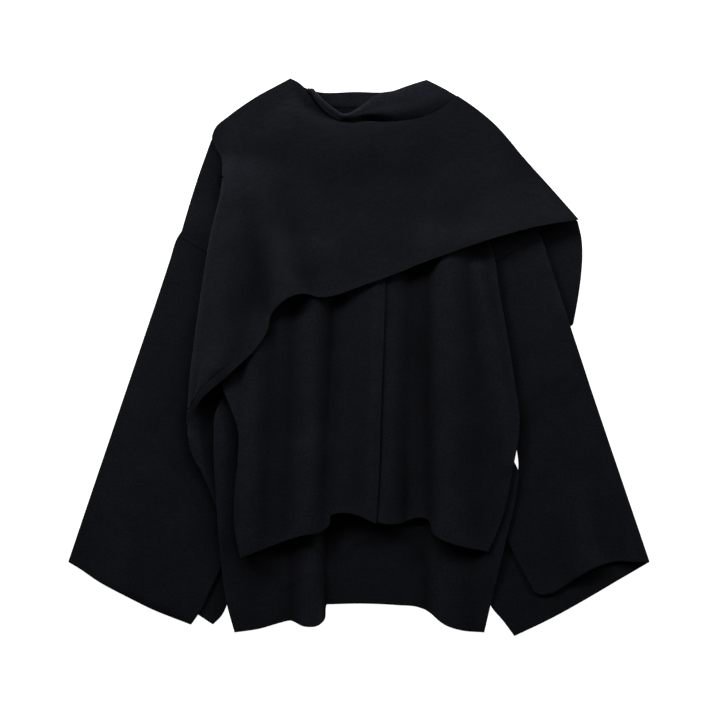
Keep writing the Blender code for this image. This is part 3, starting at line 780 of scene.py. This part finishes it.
def rolled_side(edge, out, full, strip, front, return_top):
    """The points from the inner end of the returning strip, round the turn and up to the front's edge."""
    half = np.maximum((front - return_top) / 2, ROLL_LEAST)
    angles = np.linspace(np.pi, 0.0, ROLL_POINTS + 2)[None, :-1]
    bulge = ROLL_BULGE * full[:, None] * np.sin(angles)
    turn_plan = edge[:, None] + out[:, None] * bulge[..., None]
    turn = np.dstack([turn_plan, front - half + half * np.cos(angles)])
    back = np.dstack([strip[:, :0:-1], np.repeat(front - 2 * half, RETURN_CELLS, axis=1)])
    return np.concatenate([back, turn], axis=1)


def grain_across(points):
    """The grain of a panel that turns under: the way over its cloth, and y."""
    steps = np.linalg.norm(np.diff(points, axis=1), axis=-1)
    way = np.concatenate([np.zeros((len(points), 1)), np.cumsum(steps, axis=1)], axis=1)
    return np.dstack([way, points[..., 1]])


def cape_front(name, pile, material):
    """The slanting front, with its side rolled under and lying on what is below it."""
    plan = plan_of(CAPE_FRONT)
    out, ramp = outward(plan[:, 0]), roll_ramp(plan[:, 0])
    rolled = ramp > ROLL_START
    full = np.clip((ramp - ROLL_START) / (1 - ROLL_START), ROLL_SMALLEST, 1.0)
    inset = (ROLL_BULGE * full + WALL) * rolled
    fade = np.clip(1 - np.linspace(0.0, 1.0, plan.shape[1]) / INSET_SHARE, 0.0, None)
    plan = plan - (inset[:, None] * fade[None, :])[..., None] * out[:, None]
    edge = plan[:, 0]
    rise = rise_of(plan, CAPE_FOLDS) + swell_of(plan) - rise_of(plan, CAPE_SEAMS)
    points = lay(pile, plan, LOOSE, rise, CAPE_HUGS)

    # The edge is raised where the returning strip has no room below it
    reach_in = RETURN_WIDTH * full[:, None] * np.linspace(0.0, 1.0, RETURN_CELLS + 1)[None, :]
    strip = edge[:, None] - out[:, None] * reach_in[..., None]
    return_top = levelled(pile.cover(strip, SOFT).max(axis=1) + GAP + WALL)
    short = levelled(np.maximum(return_top + 2 * ROLL_LEAST - points[:, 0, 2], 0.0))
    points[..., 2] += (short * ease(ramp / ROLL_START))[:, None] * beside_roll(plan)
    side = rolled_side(edge, out, full, strip, points[:, :1, 2], return_top[:, None])
    whole = np.concatenate([side, points], axis=1)

    spare = np.zeros((whole.shape[0] - 1, whole.shape[1] - 1), bool)
    spare[:, : side.shape[1]] = ~(rolled[1:] & rolled[:-1])[:, None]
    pile.add(upper_face(points))
    return panel(name, whole, grain_across(whole), material, spare)


def paint_shading_on_cloth(piece, pile):
    """Gives every vertex the painted shading of its place in the finished pile: painted shade where it lies
    low, painted highlight where it stands high.
    """
    mesh = piece.data
    places = np.empty(3 * len(mesh.vertices))
    mesh.vertices.foreach_get("co", places)
    painted_shading = mesh.attributes.new("painted_shading", "FLOAT", "POINT")
    painted_shading.data.foreach_set("value", pile.painted_shading(places.reshape(-1, 3)))


def build_cloth():
    """Lays the panels from the table up, then gives each the painted shading of its place."""
    effect = felt_effect()
    body = cloth_material("body_knit", effect)
    cape = cloth_material("cape_knit", effect)
    collar = cloth_material("collar_knit", effect)
    sleeve = cloth_material("sleeve_knit", effect)
    pile = Pile()

    piece = laid_panel("right_sleeve_back_knit", pile, RIGHT_SLEEVE_BACK, CLOSE, sleeve)
    dress(piece, "sleeve_right_back")
    piece = laid_panel("right_sleeve_front_knit", pile, RIGHT_SLEEVE_FRONT, CLOSE, sleeve, RIGHT_SLEEVE_FOLDS)
    dress(piece, "sleeve_right_front")
    piece = laid_panel("cape_back_knit", pile, CAPE_BACK, SOFT, cape, CAPE_BACK_FOLDS)
    dress(piece, "cape_back")
    piece = laid_panel("left_sleeve_back_knit", pile, LEFT_SLEEVE_BACK, SOFT, sleeve)
    dress(piece, "sleeve_left_back")
    piece = laid_panel("left_sleeve_front_knit", pile, LEFT_SLEEVE_FRONT, CLOSE, sleeve, LEFT_SLEEVE_FOLDS)
    dress(piece, "sleeve_left_front")
    piece = laid_panel("body_back_knit", pile, BODY_BACK, LOOSE, body, BODY_BACK_FOLDS, BODY_SEAMS)
    dress(piece, "body_back")
    piece = laid_panel(
        "back_collar_knit", pile, COLLAR_BACK, CLOSE, collar, COLLAR_WELTS, COLLAR_SEAMS, FINE_CELL
    )
    dress(piece, "collar_back")
    piece = laid_panel("left_front_knit", pile, LEFT_FRONT, LOOSE, body, LEFT_FRONT_FOLDS)
    dress(piece, "body_front_left")
    piece = laid_panel("right_front_knit", pile, RIGHT_FRONT, LOOSE, body, RIGHT_FRONT_FOLDS, FRONT_SEAMS)
    dress(piece, "body_front_right")
    piece, neck = collar_front("front_collar_knit", pile, collar)
    dress(piece, "collar_front")
    piece = cape_front("cape_front_knit", pile, cape)
    dress(piece, "cape_front")
    # Painted shading for all panels but the cape's front is read before the front collar counts in the pile;
    # the cape's front gets its painted shading after, with the collar in it
    for laid in bpy.context.scene.collection.objects:
        if laid.name.endswith("_knit") and laid != piece:
            paint_shading_on_cloth(laid, pile)
    pile.add(upper_face(neck))
    paint_shading_on_cloth(piece, pile)


def area_light(name, place, size, power):
    """A soft light that is aimed at the cloth and not seen itself."""
    data = bpy.data.lights.new(name, "AREA")
    data.shape = "RECTANGLE"
    data.size, data.size_y = size
    data.energy = power
    lamp = bpy.data.objects.new(name, data)
    lamp.location = place
    lamp.rotation_mode = "QUATERNION"
    lamp.rotation_quaternion = (Vector(LIGHT_AIM) - Vector(place)).to_track_quat("-Z", "Y")
    lamp.visible_camera = False
    bpy.context.scene.collection.objects.link(lamp)


def studio():
    """A white table, soft lights and the camera straight above."""
    shape = bmesh.new()
    bmesh.ops.create_grid(shape, x_segments=1, y_segments=1, size=TABLE_SIZE)
    mesh = bpy.data.meshes.new("table_top")
    shape.to_mesh(mesh)
    shape.free()
    top = bpy.data.objects.new("table_top", mesh)
    top.location.z = -TABLE_DROP
    bpy.context.scene.collection.objects.link(top)
    paint = bpy.data.materials.new("white_table")
    paint.use_nodes = True
    shader = paint.node_tree.nodes["Principled BSDF"]
    shader.inputs["Base Color"].default_value = TABLE_WHITE
    shader.inputs["Roughness"].default_value = TABLE_ROUGHNESS
    shader.inputs["Emission Color"].default_value = WHITE
    shader.inputs["Emission Strength"].default_value = TABLE_GLOW
    mesh.materials.append(paint)

    for light in LIGHTS:
        area_light(*light)

    world = bpy.data.worlds.new("studio_air")
    world.use_nodes = True
    air = world.node_tree.nodes["Background"]
    air.inputs["Color"].default_value = WHITE
    air.inputs["Strength"].default_value = AIR_LIGHT
    bpy.context.scene.world = world
    bpy.context.scene.view_settings.view_transform = "Standard"

    data = bpy.data.cameras.new("camera")
    data.lens = LENS
    data.sensor_width = SENSOR
    camera = bpy.data.objects.new("camera", data)
    camera.location = VIEW_CENTRE
    camera.location.z += VIEW_WIDTH * LENS / SENSOR
    bpy.context.scene.collection.objects.link(camera)
    bpy.context.scene.camera = camera


build_cloth()
studio()
